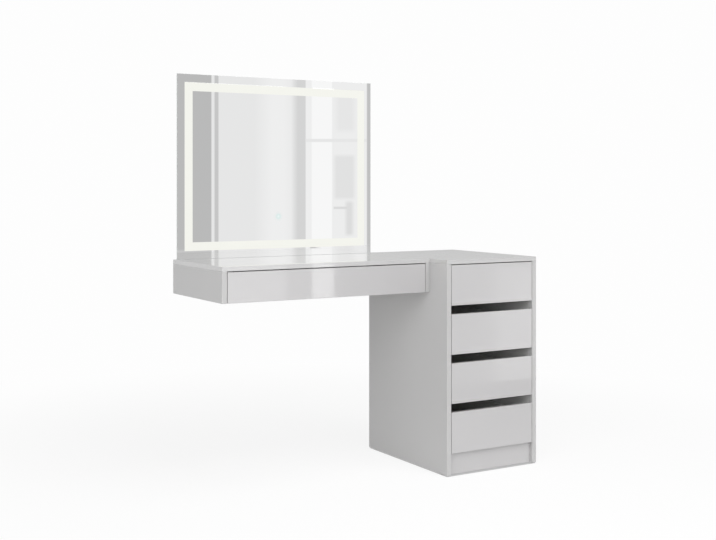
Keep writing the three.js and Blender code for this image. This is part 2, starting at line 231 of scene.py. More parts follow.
# %% [markdown]
# ## The studio
#
# The table stands on a pale floor in soft light. Even light from all round comes from the world,
# and three large soft lamps, in front, to the left and above, give each face its own brightness.
# The glossy fronts and the mirror need something to reflect, so the world shows them a row of
# tall cards, as a photographer would stand round a mirror. The camera itself sees plain white.
# The cards are given by their direction: azimuth 0 is straight in front of the table, and it
# grows to the right. Elevation is the angle above the horizon.

# %% A group for one studio card
CARD_INPUTS = ("Azimuth", "Elevation", "From", "To", "Low", "High", "Softness", "Card", "Backdrop")


def studio_card_group():
    """Blends a card's brightness into the backdrop between two azimuths and two elevations.

    The mask is the product of four edges, and each edge is the distance past the limit over
    the softness, plus a half, held between 0 and 1.
    """
    group, given, result = new_group(
        "Studio card", dict.fromkeys(CARD_INPUTS, FLOAT), {"Result": FLOAT}
    )

    def edge(inner, outer):
        """One soft edge of the card, from two of the group's inputs."""
        past = work_out(group, "SUBTRACT", given[inner], given[outer])
        softened = work_out(group, "DIVIDE", past, given["Softness"])
        return work_out(group, "ADD", softened, 0.5, clamp=True)

    across = work_out(group, "MULTIPLY", edge("Azimuth", "From"), edge("To", "Azimuth"))
    upright = work_out(group, "MULTIPLY", edge("Elevation", "Low"), edge("High", "Elevation"))
    mask = work_out(group, "MULTIPLY", across, upright)
    change = work_out(group, "SUBTRACT", given["Card"], given["Backdrop"])
    blend = work_out(group, "MULTIPLY_ADD", mask, change, given["Backdrop"])
    feed(group, result, {"Result": blend})
    return group


STUDIO_CARD = studio_card_group()

# %% The cards round the table
BACKDROP_LEVEL = 0.86
MIRROR_LOW = -4.05
IN_MIRROR = (MIRROR_LOW, 60.0)
BELOW_MIRROR = (-7.0, MIRROR_LOW)
IN_FRONTS = (-16.0, MIRROR_LOW)

# name: azimuth from, azimuth to, elevation from, elevation to, softness, brightness
CARDS = {
    "wall_behind": (120.0, 181.0, -30.0, 25.0, 12.0, 0.58),
    "wall_behind_left": (-181.0, -120.0, -30.0, 25.0, 12.0, 0.44),
    "wall_beside_desk": (-172.0, -151.5, -30.0, 25.0, 2.5, 1.00),
    "ceiling": (-181.0, 181.0, 35.0, 91.0, 12.0, 0.95),
    "shade_card": (15.0, 24.58, *IN_MIRROR, 0.05, 0.53),
    "shade_foot": (15.0, 24.58, MIRROR_LOW, -3.35, 0.12, 0.62),
    "thin_light": (24.58, 24.73, *IN_MIRROR, 0.04, 0.86),
    "thin_shade": (24.73, 24.93, *IN_MIRROR, 0.05, 0.61),
    "pale_card": (27.2, 28.7, *IN_MIRROR, 0.9, 0.93),
    "grey_reveal": (28.80, 29.60, *IN_MIRROR, 0.35, 0.71),
    "pale_frame": (29.37, 29.72, *IN_MIRROR, 0.05, 0.93),
    "bright_card": (29.68, 30.74, *IN_MIRROR, 0.06, 1.01),
    "right_card": (30.74, 32.5, *IN_MIRROR, 0.10, 0.92),
    "right_upper": (30.95, 31.85, 2.7, 4.6, 0.30, 0.86),
    "right_lower": (30.85, 31.85, -0.75, 1.45, 0.20, 0.82),
    "right_small": (31.42, 31.78, -2.6, -0.9, 0.20, 0.78),
    "cross_bar": (29.37, 32.5, 2.14, 2.30, 0.05, 0.86),
    "short_bar": (30.8, 31.5, -1.28, -1.16, 0.05, 0.76),
    "edge_shade": (32.5, 32.95, *IN_MIRROR, 0.05, 0.57),
    "low_glow": (20.0, 28.4, *BELOW_MIRROR, 0.3, 2.4),
    "low_reveal": (28.5, 29.60, *BELOW_MIRROR, 0.4, 1.0),
    "low_bright": (29.70, 30.84, *BELOW_MIRROR, 0.06, 4.2),
    "low_dark": (31.0, 36.6, *BELOW_MIRROR, 0.6, 0.6),
    "low_corner": (33.8, 36.6, *BELOW_MIRROR, 1.4, 0.0),
    "low_shade": (36.6, 38.9, *IN_FRONTS, 0.3, 1.38),
    "low_side": (38.9, 60.0, *IN_FRONTS, 0.5, 2.15),
}

# %% Build the world
EVEN_LIGHT = 0.33
WHITE_LEVEL = 0.985
PURE_WHITE = (1.0, 1.0, 1.0, 1.0)


def build_world():
    """Even light for matt surfaces, the cards for reflections, and white for the camera."""
    world = bpy.data.worlds.new("studio")
    bpy.context.scene.world = world
    world.use_nodes = True
    tree = world.node_tree
    tree.nodes.clear()

    direction = place_axes(tree, add_node(tree, "TexCoord")["Generated"])
    forward = work_out(tree, "MULTIPLY", direction["Y"], -1.0)
    azimuth = work_out(tree, "DEGREES", work_out(tree, "ARCTAN2", direction["X"], forward))
    elevation = work_out(tree, "DEGREES", work_out(tree, "ARCSINE", direction["Z"]))
    level = BACKDROP_LEVEL
    for name, card in CARDS.items():
        sources = dict(zip(CARD_INPUTS, (azimuth, elevation, *card, level)))
        level = add_node(tree, "Group", sources, name=name, node_tree=STUDIO_CARD)["Result"]

    camera_ray, sent_on = ray_kinds(tree)
    seen = work_out(tree, "MULTIPLY", camera_ray, WHITE_LEVEL)
    unseen = work_out(tree, "SUBTRACT", 1.0, camera_ray)
    other = work_out(tree, "SUBTRACT", unseen, sent_on, clamp=True)
    even = work_out(tree, "MULTIPLY_ADD", other, EVEN_LIGHT, seen)
    shown = work_out(tree, "MULTIPLY_ADD", level, sent_on, even)
    light = add_node(tree, "Background", {"Color": PURE_WHITE, "Strength": shown})
    add_node(tree, "OutputWorld", {"Surface": light[0]})


build_world()
print("studio with", len(CARDS), "cards")

# %% [markdown]
# ## The floor
#
# The floor is one pale sheet that ends a little way in front of the table, as studio paper does.
# Near the table it is lit like any surface, so it keeps the soft shadow. Further out it fades to
# the white of the background, for the camera and in reflections, so no edge of the paper shows.

# %% The paper
FLOOR_PALE = (0.66, 0.66, 0.66, 1.0)
SEEN_SHADE = (0.15, 0.15, 0.15, 1.0)
SEEN_LIFT = 0.84
# less white lift under the cabinet: painted shade under it
PAINTED_SHADE_UNDER_LIFT = 0.40
# more white where reflections show the floor in front of the cabinet: a painted reflection
PAINTED_REFLECTION_LIFT = 0.35
FADE_START = 0.9
FADE_END = 2.4
FIBRE_SCALE = 40.0
FIBRE_DEPTH = 0.2 * MM


def floor_material():
    """Pale matt paper with a faint fibre, which fades to the background white with distance.

    To the camera and in reflections the paper is mostly its own white, so shadows stay light,
    but the part under the cabinet gets less of that white: painted shade under the cabinet. What
    lies in front of the cabinet gets more white in reflections: a painted reflection. To every
    other ray it is plain pale paper, which throws light back at the table.
    """
    material = bpy.data.materials.new("studio_paper")
    material.use_nodes = True
    tree = material.node_tree
    tree.nodes.clear()

    camera_ray, sent_on = ray_kinds(tree)
    seen = work_out(tree, "MAXIMUM", camera_ray, sent_on)
    fibre = noise_value(tree, object_place(tree), FIBRE_SCALE)
    paper = {
        "Color": between(tree, seen, FLOOR_PALE, SEEN_SHADE),
        "Normal": relief(tree, fibre, FIBRE_DEPTH),
    }
    matt = add_node(tree, "BsdfDiffuse", paper)

    low, high = node_box("cabinet_left_side")[0], node_box("cabinet_right_side")[1]
    # painted shade: the cabinet's footprint gets less of the white lift
    under = within(tree, low, high)
    own_white = work_out(tree, "MULTIPLY_ADD", under, PAINTED_SHADE_UNDER_LIFT - SEEN_LIFT, SEEN_LIFT)
    # painted reflection: in reflections, the floor in front of the cabinet is brighter
    in_front = work_out(tree, "LESS_THAN", place_axes(tree, object_place(tree))["Y"], low[1])
    reflected = work_out(tree, "MULTIPLY", in_front, sent_on)
    own_white = work_out(tree, "MULTIPLY_ADD", reflected, PAINTED_REFLECTION_LIFT, own_white)
    lift = add_node(tree, "Emission", {"Strength": work_out(tree, "MULTIPLY", seen, own_white)})
    lit = add_node(tree, "AddShader", {0: matt[0], 1: lift[0]})

    fade = soft_step(tree, distance_from(tree, (0.0, 0.0, 0.0)), FADE_START, FADE_END)
    white = add_node(tree, "Emission", {"Strength": WHITE_LEVEL})
    faded = {0: work_out(tree, "MULTIPLY", fade, seen), 1: lit[0], 2: white[0]}
    add_node(tree, "OutputMaterial", {"Surface": add_node(tree, "MixShader", faded)[0]})
    return material


# %% Lay the floor
FLOOR_LEFT = -5.0
FLOOR_RIGHT = 5.0
FLOOR_FRONT = -1.635
FLOOR_REAR = 5.0
FLOOR_DROP = 0.2 * MM


def lay_floor():
    """One flat rectangle between the four limits, just under the glides."""
    x = (FLOOR_LEFT, FLOOR_RIGHT, FLOOR_RIGHT, FLOOR_LEFT)
    y = (FLOOR_FRONT, FLOOR_FRONT, FLOOR_REAR, FLOOR_REAR)
    mesh = bpy.data.meshes.new("studio_floor")
    mesh.from_pydata([(*corner, -FLOOR_DROP) for corner in zip(x, y)], [], [(0, 1, 2, 3)])
    mesh.materials.append(floor_material())
    add_object("studio_floor", mesh)


lay_floor()

# %% Hang the lamps
TABLE_MIDDLE = Vector((0.0, 0.0, 0.7))
SOFTBOX_SIZE = (3.0, 3.0)

# name: place, watts
SOFTBOXES = {
    "front_softbox": ((1.4, -3.6, 3.1), 46.0),
    "side_softbox": ((-3.6, -2.5, 2.0), 82.0),
    "high_softbox": ((0.3, -1.8, 4.3), 88.0),
}


def add_lamp(name, place, turn, size, watts):
    """A rectangular area lamp that shines along its own -Z and is hidden from reflections."""
    light = bpy.data.lights.new(name, "AREA")
    light.shape = "RECTANGLE"
    light.size, light.size_y = size
    light.energy = watts
    lamp = add_object(name, light)
    lamp.location = place
    lamp.rotation_euler = turn
    lamp.visible_glossy = False
    return lamp


for name, (place, watts) in SOFTBOXES.items():
    aim = (TABLE_MIDDLE - Vector(place)).to_track_quat("-Z", "Y").to_euler()
    add_lamp(name, place, aim, SOFTBOX_SIZE, watts)

# %% The glow of the light band
GLOW_WATTS = 1.1
GLOW_COLOUR = (1.0, 0.92, 0.80)
GLOW_STANDS_OFF = 6 * MM
FACING_FORWARD = (-math.pi / 2, 0.0, 0.0)


def add_band_glow():
    """A warm lamp as large as the band, just in front of it, that lights the desk top softly."""
    low, high = node_box("mirror_light_band")
    place = (low + high) / 2
    place[1] = low[1] - GLOW_STANDS_OFF
    lamp = add_lamp("band_glow", place, FACING_FORWARD, (high - low)[[0, 2]], GLOW_WATTS)
    lamp.data.color = GLOW_COLOUR
    lamp.visible_camera = False


add_band_glow()
print("lamps:", len(SOFTBOXES) + 1)

# %% [markdown]
# ## Shapes as stacked rings
#
# Boards, panes, screws, feet and domes can all be made the same way: a closed outline is carried
# along an axis while a profile moves it in or out. Numpy works out all the rings at once, as an
# array with one row for each ring. The side faces join neighbouring rings, and one flat face
# closes each end. A modifier tool such as Bevel could round a box as well, but the profile also
# gives control over grooves and steps, and it never leaves a stray face.

# %% Turn local rings to face along any axis
AXES = {"X": [2, 0, 1], "Y": [1, 2, 0], "Z": [0, 1, 2]}
AXES_BACK = {"X": [1, 2, 0], "Y": [2, 0, 1], "Z": [0, 1, 2]}


def face_along(rings, direction):
    """Turns rings that are stacked along local Z so that they stack along a direction like -Y.

    A negative direction mirrors the stack, so its rings are also put in reverse order, and
    the faces still point outwards.
    """
    sign, axis = direction
    if sign == "-":
        rings = (rings * np.array([1.0, 1.0, -1.0]))[..., ::-1, :, :]
    return rings[..., AXES[axis]]


def node_space(node, axis):
    """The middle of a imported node's box, and its size as local a, b and c for an axis."""
    low, high = node_box(node)
    return (low + high) / 2, (high - low)[AXES_BACK[axis]]


# %% Outlines for the rings
CORNER_STEPS = 4
LEAST_RADIUS = 0.02 * MM


def as_points(a, b, height):
    """Points from two coordinates across the axis and a height for each ring or point."""
    height = np.reshape(height, (len(a), -1))
    return np.stack([a, b, np.broadcast_to(height, a.shape)], axis=-1)


def rounded_outline(half_a, half_b, corner, inset, steps=CORNER_STEPS):
    """A rectangle with round corners, moved in by an inset, with one row for each inset.

    Each corner is a quarter circle: its centre lies the corner radius in from both sides, and
    the radius shrinks with the inset, but never to nothing.
    """
    inset = np.atleast_1d(inset)[:, None]
    corner = np.atleast_1d(corner)[:, None]
    quarter = np.linspace(0.0, np.pi / 2, steps)
    angles = (quarter[None, :] + np.arange(4)[:, None] * np.pi / 2).ravel()
    sign_a = np.repeat([1.0, -1.0, -1.0, 1.0], steps)
    sign_b = np.repeat([1.0, 1.0, -1.0, -1.0], steps)
    radius = np.maximum(corner - inset, LEAST_RADIUS)
    a = sign_a * (half_a - inset - radius) + radius * np.cos(angles)
    b = sign_b * (half_b - inset - radius) + radius * np.sin(angles)
    return a, b


def rings_in_box(node, axis, corner, inset, height, steps=CORNER_STEPS):
    """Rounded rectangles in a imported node's box. Heights start at the box's low side."""
    middle, size = node_space(node, axis)
    a, b = rounded_outline(size[0] / 2, size[1] / 2, corner, inset, steps)
    return face_along(as_points(a, b, height - size[2] / 2), "+" + axis) + middle


# %% Round rings
def even_angles(count):
    """Angles of a full turn in even steps."""
    return np.arange(count) * 2 * np.pi / count


def round_rings(radius, height):
    """Rings round the axis: radius has a row for each ring and a column for each point."""
    angles = even_angles(radius.shape[1])
    return as_points(radius * np.cos(angles), radius * np.sin(angles), height)


def turned_rings(profile, segments):
    """Rings of a turned piece: each profile point is a radius and a height on the axis."""
    radius, height = np.asarray(profile, float).T
    return round_rings(np.repeat(radius[:, None], segments, axis=1), height)


# %% From rings to pieces
SMOOTH_BELOW = math.radians(42)
LARGE_FACES_LEAD = 100


def rings_to_mesh(name, stacks, marks=None, tube=False):
    """Makes one mesh of closed solids from an array of stacks, rings, points and coordinates.

    Face (ring, point) joins a point and the next one to the same two points of the next ring.
    A flat face closes each end, or in a tube the last ring joins the first one.
    marks is a number for each ring, kept as the point attribute named mark.
    """
    stacks = np.asarray(stacks, float)
    if stacks.ndim == 3:
        stacks = stacks[None]
    index = np.arange(stacks[..., 0].size).reshape(stacks.shape[:3])
    this = index if tube else index[:, :-1]
    following = np.roll(index, -1, axis=1)[:, : this.shape[1]]
    corners = [this, np.roll(this, -1, axis=2), np.roll(following, -1, axis=2), following]
    faces = np.stack(corners, axis=-1).reshape(-1, 4).tolist()
    if not tube:
        faces += [*index[:, 0, ::-1].tolist(), *index[:, -1].tolist()]
    mesh = bpy.data.meshes.new(name)
    mesh.from_pydata(stacks.reshape(-1, 3), [], faces)
    if marks is not None:
        values = np.broadcast_to(np.asarray(marks, np.float32)[None, :, None], index.shape)
        layer = mesh.attributes.new("mark", "FLOAT", "POINT")
        layer.data.foreach_set("value", values.ravel())
    return mesh


def add_piece(name, mesh, material, body="carcass", replaces=()):
    """Shades a mesh smooth on its rounded edges, and makes it a piece that rides on a body."""
    mesh.polygons.foreach_set("use_smooth", np.ones(len(mesh.polygons), bool))
    mesh.set_sharp_from_angle(angle=SMOOTH_BELOW)
    mesh.materials.append(material)
    piece = add_object(name, mesh)
    weighting = piece.modifiers.new("flat_faces_stay_flat", "WEIGHTED_NORMAL")
    weighting.keep_sharp = True
    weighting.weight = LARGE_FACES_LEAD
    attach(piece, body)
    if replaces:
        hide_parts(*replaces)
    return piece


def ring_piece(name, rings, material, body="carcass", replaces=(), marks=None, tube=False):
    """Makes a piece straight from its rings."""
    return add_piece(name, rings_to_mesh(name, rings, marks, tube), material, body, replaces)


def turned_piece(node, name, axis, profile, segments, material, tube=False):
    """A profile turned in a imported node's box. Its heights start at the box's low side."""
    middle, size = node_space(node, axis)
    rings = turned_rings(profile, segments) - [0.0, 0.0, size[2] / 2]
    rings = face_along(rings, "+" + axis) + middle
    return ring_piece(name, rings, material, replaces=[node], tube=tube)


def places_at(x, y, z):
    """A list of places from three coordinates, each an array or one number for all."""
    return np.stack(np.broadcast_arrays(x, y, z), axis=-1).reshape(-1, 3)


def copied_piece(name, rings, direction, places, material, body="carcass"):
    """One piece of the same rings at each of several places, facing one direction."""
    stacks = face_along(rings, direction)[None] + places[:, None, None, :]
    return ring_piece(name, stacks, material, body)


# %% [markdown]
# ## Boards with eased edges
#
# A furniture board is never sharp: its edge band is rounded over by about half a millimetre, and
# a fine joint line shows where the band meets the face. The board's profile goes from the middle
# of one face, across the joint line, round one edge, over the narrow side and back on the other
# face.

# %% Make one board
FRONT_EASE = 0.6 * MM
CARCASS_EASE = 0.3 * MM
BOARD_GAP = 0.3 * MM
BAND_THICKNESS = 1.6 * MM
JOINT_HALF_WIDTH = 0.15 * MM
JOINT_DEPTH = 0.08 * MM
ARC_STEPS = 4


def board_profile(thickness, ease):
    """Insets, heights and marks of the rings of a board. Marks are 1 in the joint line."""
    quarter = np.linspace(0.0, np.pi / 2, ARC_STEPS)
    joint = np.array([0.0, 1.0, 0.0])
    face_inset = BAND_THICKNESS + np.array([1.0, 0.0, -1.0]) * JOINT_HALF_WIDTH
    inset = np.concatenate([face_inset, ease * (1 - np.sin(quarter))])
    depth = np.concatenate([joint * JOINT_DEPTH, ease * (1 - np.cos(quarter))])
    mark = np.concatenate([joint, np.zeros(ARC_STEPS)])
    height = np.concatenate([depth, thickness - depth[::-1]])
    return np.concatenate([inset, inset[::-1]]), height, np.concatenate([mark, mark[::-1]])


def board_piece(node, axis, ease, material, body="carcass"):
    """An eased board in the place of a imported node, with its thickness along an axis."""
    inset, height, marks = board_profile(node_space(node, axis)[1][2], ease)
    rings = rings_in_box(node, axis, ease, inset, height)
    return ring_piece(node + "_board", rings, material, body, [node], marks)


# %% [markdown]
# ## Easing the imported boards
#
# Some boards have bolt or screw holes, and the slides are folded sheet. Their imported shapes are
# right, but their edges are knife sharp. A merged copy with a Bevel modifier rounds every edge
# that is really an edge. Where two boards are glued together, the copy also closes the packed
# gap, and the edges in that joint stay square, so that no groove shows.

# %% Ease a packed board
EDGE_ANGLE = math.radians(30)
FLAT_ANGLE = math.radians(1)
SAME_POINT = 0.001 * MM
EASE_SEGMENTS = 2


def eased_copy(node, ease, material, body="carcass", glued_top=False):
    """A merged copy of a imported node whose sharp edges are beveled. Gives the new piece.

    Points within a board gap of the top are the ones in a glued joint. They move up by the
    gap, and an edge between two of them keeps its corner. The bevel is put first, so that the
    normals are weighted on the beveled shape.
    """
    shape = bmesh.new()
    shape.from_mesh(NODES[node].data)
    bmesh.ops.remove_doubles(shape, verts=shape.verts, dist=SAME_POINT)
    bmesh.ops.dissolve_limit(shape, angle_limit=FLAT_ANGLE, verts=shape.verts, edges=shape.edges)
    sharp = np.array([edge.calc_face_angle(0.0) > EDGE_ANGLE for edge in shape.edges])
    mesh = bpy.data.meshes.new(node + "_eased")
    shape.to_mesh(mesh)
    shape.free()
    if glued_top:
        place = np.empty(3 * len(mesh.vertices), np.float32)
        ends = np.empty(2 * len(mesh.edges), np.int32)
        mesh.vertices.foreach_get("co", place)
        mesh.edges.foreach_get("vertices", ends)
        place = place.reshape(-1, 3)
        in_joint = place[:, 2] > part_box(node)[1][2] - BOARD_GAP
        place[in_joint, 2] += BOARD_GAP
        sharp &= ~in_joint[ends.reshape(-1, 2)].all(axis=1)
        mesh.vertices.foreach_set("co", place.ravel())
    weight = mesh.attributes.new("bevel_weight_edge", "FLOAT", "EDGE")
    weight.data.foreach_set("value", sharp.astype(np.float32))
    piece = add_piece(node + "_eased", mesh, material, body, [node])
    bevel = piece.modifiers.new("eased_edges", "BEVEL")
    bevel.width = ease
    bevel.segments = EASE_SEGMENTS
    bevel.limit_method = "WEIGHT"
    piece.modifiers.move(1, 0)
    return piece


# %% [markdown]
# ## Sections carried round a rectangle
#
# A drawer box, a mirror's edge frame and its light band are all one section that runs round a
# rectangle, with mitred corners. The section is drawn once, as an inset from the outside and a
# height along the axis, and every corner follows from it.

# %% Carry a closed section round a node's box
def section_piece(node, name, axis, section, corner, material, body="carcass"):
    """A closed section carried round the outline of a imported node's box.

    The section starts at its outer side and goes up that side first, then inwards over the
    top and down the inner side, so that its faces point outwards.
    """
    inset, along = np.asarray(section, float).T
    rings = rings_in_box(node, axis, corner, inset, along)
    return ring_piece(name, rings, material, body, [node], tube=True)


# %% [markdown]
# ## Finishes
#
# Effects that several finishes share are node groups, built once: a slow drift of tone, and four
# textures that each give a shine and a height. They are the orange peel of sprayed lacquer, the
# grain of an embossed film, brushed lines, and the threads of linen. Each material keeps its own
# shader, and puts the numbers that are the same all over on its sockets.

# %% Shared effects
TEXTURE = {"Shine": FLOAT, "Height": FLOAT}
DRIFT_DETAIL = 3.0
SMUDGE_SCALE = 9.0
SMUDGE_DETAIL = 4.0
SMUDGE_ROUGHNESS = 0.65
FINER_GRAIN = 3.1
FINER_SHARE = 0.4
LINE_DETAIL = 4.0
THREAD_WANDER = 1.2


def tone_drift_group():
    """Lightens and darkens a colour a little by slow noise, and darkens marked joint lines."""
    inputs = {"Colour": COLOUR, "Scale": FLOAT, "Amount": FLOAT, "Joint shade": FLOAT}
    group, given, result = new_group("Tone drift", inputs, {"Colour": COLOUR})
    slow = noise_value(group, object_place(group), given["Scale"], DRIFT_DETAIL)
    offset = work_out(group, "SUBTRACT", slow, 0.5)
    factor = work_out(group, "MULTIPLY_ADD", offset, given["Amount"], 1.0)
    joint = add_node(group, "Attribute", attribute_name="mark")["Fac"]
    shade = work_out(group, "MULTIPLY", joint, given["Joint shade"])
    factor = work_out(group, "SUBTRACT", factor, shade)
    feed(group, result, {"Colour": scaled(group, given["Colour"], factor)})
    return group


def lacquer_skin_group():
    """A sprayed surface: long soft waves with fine orange peel, and smudges in its shine."""
    inputs = {"Wave scale": FLOAT, "Peel scale": FLOAT, "Peel share": FLOAT}
    group, given, result = new_group("Lacquer skin", inputs, TEXTURE)
    place = object_place(group)
    waves = noise_value(group, place, given["Wave scale"], 0.0)
    peel = noise_value(group, place, given["Peel scale"], 1.0)
    height = work_out(group, "MULTIPLY_ADD", peel, given["Peel share"], waves)
    smudge = noise_value(group, place, SMUDGE_SCALE, SMUDGE_DETAIL, SMUDGE_ROUGHNESS)
    feed(group, result, {"Shine": smudge, "Height": height})
    return group


def film_grain_group():
    """The pearl of an embossed film: rounded cells from noise, with a finer grain over them."""
    group, given, result = new_group("Film grain", {"Scale": FLOAT}, TEXTURE)
    place = object_place(group)
    cells = noise_value(group, place, given["Scale"], 1.0)
    finer = work_out(group, "MULTIPLY", given["Scale"], FINER_GRAIN)
    grain = noise_value(group, place, finer, 0.0)
    pearl = work_out(group, "MULTIPLY_ADD", grain, FINER_SHARE, cells)
    feed(group, result, {"Shine": pearl, "Height": pearl})
    return group


def brushed_group():
    """Fine parallel lines: noise that is stretched along one axis by the stretch vector."""
    inputs = {"Stretch": VECTOR, "Scale": FLOAT}
    group, given, result = new_group("Brushed lines", inputs, TEXTURE)
    place = {0: object_place(group), 1: given["Stretch"]}
    stretched = add_node(group, "VectorMath", place, operation="MULTIPLY")[0]
    lines = noise_value(group, stretched, given["Scale"], LINE_DETAIL)
    feed(group, result, {"Shine": lines, "Height": lines})
    return group


def linen_group():
    """Crossing threads: the highest of three sets of waves, one along each axis."""
    group, given, result = new_group("Linen", {"Scale": FLOAT}, TEXTURE)
    sources = {
        "Vector": object_place(group),
        "Scale": given["Scale"],
        "Distortion": THREAD_WANDER,
    }
    woven = 0.0
    for axis in "XYZ":
        threads = add_node(group, "TexWave", sources, bands_direction=axis)["Fac"]
        woven = work_out(group, "MAXIMUM", threads, woven)
    feed(group, result, {"Shine": woven, "Height": woven})
    return group


TONE_DRIFT = tone_drift_group()
LACQUER_SKIN = lacquer_skin_group()
FILM_GRAIN = film_grain_group()
BRUSHED = brushed_group()
LINEN = linen_group()
print("node groups:", len(bpy.data.node_groups))


# %% Helpers for materials
WALL_GAP = np.array([0.5 * MM, 0.0, 0.0])


def start_material(name, values):
    """A material with one Principled shader.

    Values that are the same all over are set on the shader's own sockets.
    """
    material = bpy.data.materials.new(name)
    material.use_nodes = True
    shader = material.node_tree.nodes["Principled BSDF"].inputs
    feed(material.node_tree, shader, values)
    return material, material.node_tree, shader


def drifting(tree, colour, scale, amount, joint_shade=0.0):
    """A colour whose tone drifts with a noise of some scale, by some amount."""
    sources = {"Colour": colour, "Scale": scale, "Amount": amount, "Joint shade": joint_shade}
    return add_node(tree, "Group", sources, node_tree=TONE_DRIFT)["Colour"]


def textured(name, values, colour, drift, texture, settings, rough, depth, inner=None):
    """A finish whose tone drifts slowly, and whose roughness and relief follow one texture.

    drift is the scale and the amount of the tone's noise, and the shade of joint lines.
    rough is the range of the roughness, and depth is the relief in metres. An inner colour
    shows between the cabinet's side walls, from the front of its bottom board to its back.
    It is lighter than the outer colour: painted light in the shaded inside of the cabinet.
    """
    material, tree, shader = start_material(name, values)
    # painted light: a lighter colour inside the cabinet, where shade falls
    if inner:
        low, high = node_box("cabinet_bottom")[0], node_box("cabinet_back")[1]
        inside = within(tree, low - WALL_GAP, high + WALL_GAP)
        colour = between(tree, inside, colour, inner)
    fields = add_node(tree, "Group", settings, node_tree=texture)
    sources = {
        "Base Color": drifting(tree, colour, *drift),
        "Roughness": spread(tree, fields["Shine"], *rough),
        "Normal": relief(tree, fields["Height"], depth),
    }
    feed(tree, shader, sources)
    return material


# %% [markdown]
# ## White lacquer and white film
#
# The fronts and the tops are polished lacquer: a soft grey-white under a clear, hard coat that
# mirrors the studio. The carcass boards are covered with a satin film, which has a fine pearl.
# The drawer boxes are wrapped in a paper foil with a faint linen, and their bottoms are thin
# hardboard with a white coat, through which the pressed fibres still show.

# %% White lacquer
FRONT_WHITE = (0.575, 0.566, 0.571, 1.0)
# the tops' copy of the lacquer is lighter than the fronts': painted light on the top boards
TOP_WHITE_PAINTED_LIGHTER = (0.614, 0.611, 0.611, 1.0)
FINE_RELIEF = 0.02 * MM
CLEAR_COAT = {"IOR": 1.5, "Coat Weight": 1.0, "Coat Roughness": 0.02, "Coat IOR": 1.5}
POLISHED = {"Wave scale": 14.0, "Peel scale": 420.0, "Peel share": 0.02}


def lacquer(name, colour):
    """Polished white lacquer."""
    return textured(
        name, CLEAR_COAT, colour, drift=(2.5, 0.05, 0.08),
        texture=LACQUER_SKIN, settings=POLISHED, rough=(0.10, 0.18), depth=FINE_RELIEF,
    )


front_lacquer = lacquer("front_lacquer", FRONT_WHITE)
# a lighter copy of the same lacquer, which paints light on the tops
top_lacquer = lacquer("top_lacquer", TOP_WHITE_PAINTED_LIGHTER)

# %% Film, paper foil and hardboard
CARCASS_WHITE = (0.598, 0.594, 0.593, 1.0)
# the same film as outside, but lighter: painted light inside the cabinet
INSIDE_PAINTED_LIGHTER = (0.86, 0.855, 0.845, 1.0)
BOX_WHITE = (0.86, 0.855, 0.84, 1.0)
HARDBOARD_WHITE = (0.80, 0.79, 0.77, 1.0)
THIN_COAT = {"IOR": 1.5, "Coat Weight": 0.35, "Coat Roughness": 0.12}
BARE = {"IOR": 1.45}
FIBRES = {"Stretch": (1.0, 0.25, 1.0), "Scale": 450.0}
FIBRE_RELIEF = 0.06 * MM

carcass_film = textured(
    "carcass_film", THIN_COAT, CARCASS_WHITE, drift=(3.0, 0.05, 0.08),
    texture=FILM_GRAIN, settings={"Scale": 900.0}, rough=(0.24, 0.34), depth=FINE_RELIEF,
    inner=INSIDE_PAINTED_LIGHTER,
)
drawer_wrap = textured(
    "drawer_wrap", BARE, BOX_WHITE, drift=(5.0, 0.06),
    texture=LINEN, settings={"Scale": 330.0}, rough=(0.42, 0.52), depth=FINE_RELIEF,
)
hardboard = textured(
    "coated_hardboard", BARE, HARDBOARD_WHITE, drift=(30.0, 0.10),
    texture=BRUSHED, settings=FIBRES, rough=(0.5, 0.7), depth=FIBRE_RELIEF,
)

# %% [markdown]
# ## Metals
#
# Zinc plate on cold-rolled steel has faint crystals, and each one shines a little differently.
# The mirror's edge frame is anodised aluminium with fine lines along its length. The screws are
# nickel plated and smoother than both.

# %% Metals
METAL = {"Metallic": 1.0}
METAL_RELIEF = 0.01 * MM
ALUMINIUM = (0.66, 0.66, 0.665, 1.0)
NICKEL = (0.60, 0.585, 0.56, 1.0)
ZINC_TINT = (1.0, 1.01, 1.03)
CRYSTAL_SCALE = 170.0
ROLLED = {"Stretch": (1.0, 0.02, 1.0), "Scale": 1500.0}
FRAME_LINES = {"Stretch": (0.05, 1.0, 0.05), "Scale": 2200.0}
PLATING_SCALE = 900.0
PLATING_DRIFT = (400.0, 0.25)
PLATING_ROUGHNESS = (0.16, 0.30)

# how much a crystal's value varies, and its least value
CRYSTAL_SHADE = (0.06, 0.54)
CRYSTAL_ROUGHNESS = (0.07, 0.27)


def zinc_steel_finish():
    """Bright zinc: cells of one shade and shine each, over fine rolling lines along the slide."""
    material, tree, shader = start_material("zinc_steel", METAL)
    cells = {"Vector": object_place(tree), "Scale": CRYSTAL_SCALE}
    crystal = add_node(tree, "SeparateColor", {0: add_node(tree, "TexVoronoi", cells)["Color"]})
    shade = work_out(tree, "MULTIPLY_ADD", crystal[0], *CRYSTAL_SHADE)
    lines = add_node(tree, "Group", ROLLED, node_tree=BRUSHED)["Height"]
    sources = {
        "Base Color": scaled(tree, ZINC_TINT, shade),
        "Roughness": work_out(tree, "MULTIPLY_ADD", crystal[1], *CRYSTAL_ROUGHNESS),
        "Normal": relief(tree, lines, METAL_RELIEF),
    }
    feed(tree, shader, sources)
    return material


def nickel_finish():
    """Nickel plate on screws, with a little grime in the plating."""
    material, tree, shader = start_material("nickel_plate", METAL)
    grime = noise_value(tree, object_place(tree), PLATING_SCALE)
    sources = {
        "Base Color": drifting(tree, NICKEL, *PLATING_DRIFT),
        "Roughness": spread(tree, grime, *PLATING_ROUGHNESS),
    }
    feed(tree, shader, sources)
    return material


